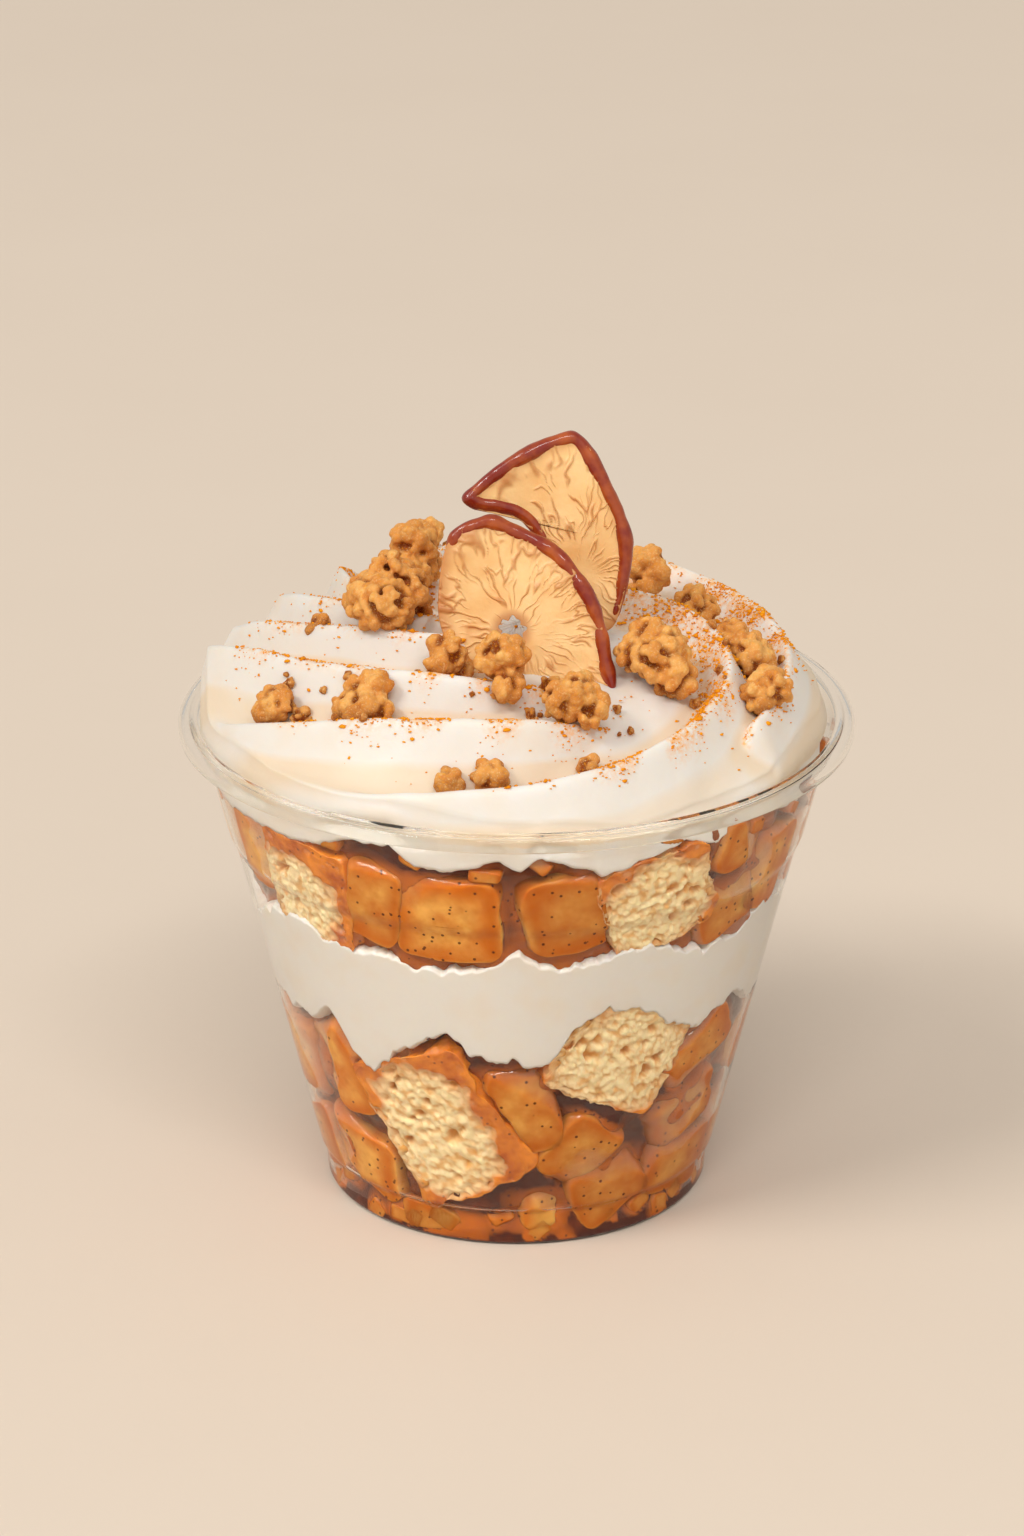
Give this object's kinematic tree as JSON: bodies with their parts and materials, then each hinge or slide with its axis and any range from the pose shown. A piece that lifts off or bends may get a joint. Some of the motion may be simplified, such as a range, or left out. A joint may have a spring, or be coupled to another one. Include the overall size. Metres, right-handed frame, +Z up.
{
  "type": "shortcake dessert cup",
  "caption": "Clear plastic cup of layered shortcake: syrup fruit cubes, cake cubes and cream under a piped cream swirl with crumble clusters and dried fruit slices.",
  "frame": {"origin": "centre of the cup's base, on the surface that it stands on", "axes": "+Z up, the pictured front faces -Y"},
  "size_m": [0.092, 0.092, 0.1081],
  "materials": {
    "clear_cup": "clear thin thermoformed plastic, glossy, with a rolled lip",
    "syrup_fruit": "cooked fruit cubes in cinnamon syrup, translucent amber, wet gloss",
    "cake": "open golden sponge crumb, browned and syrup-soaked at the edges",
    "cream": "piped whipped cream, satin, dusted with cinnamon on top",
    "dried_slice": "dried fruit slice, golden veined flesh with a dark red glossy skin",
    "crumble": "baked crumble, golden brown, rough and pebbly"
  },
  "bodies": {
    "root": {"cup": "clear_cup", "cake_lower_1": "cake", "cake_lower_2": "cake", "cake_lower_3": "cake", "cake_lower_4": "cake", "cake_upper_1": "cake", "cake_upper_2": "cake", "cake_upper_3": "cake", "cake_upper_4": "cake", "fruit_lower": "syrup_fruit", "fruit_upper": "syrup_fruit", "cream_middle": "cream", "cream_top": "cream", "slice_front": "dried_slice", "slice_back": "dried_slice", "crumble_a": "crumble", "crumble_b": "crumble", "crumble_c": "crumble", "crumble_d": "crumble", "crumble_e": "crumble", "crumble_f": "crumble", "crumble_g": "crumble", "crumble_h": "crumble", "crumble_i": "crumble", "crumble_j": "crumble", "crumble_k": "crumble", "crumble_l": "crumble", "crumble_m": "crumble", "crumble_n": "crumble", "crumble_o": "crumble", "crumble_p": "crumble", "crumble_q": "crumble"}
  },
  "joints": []
}
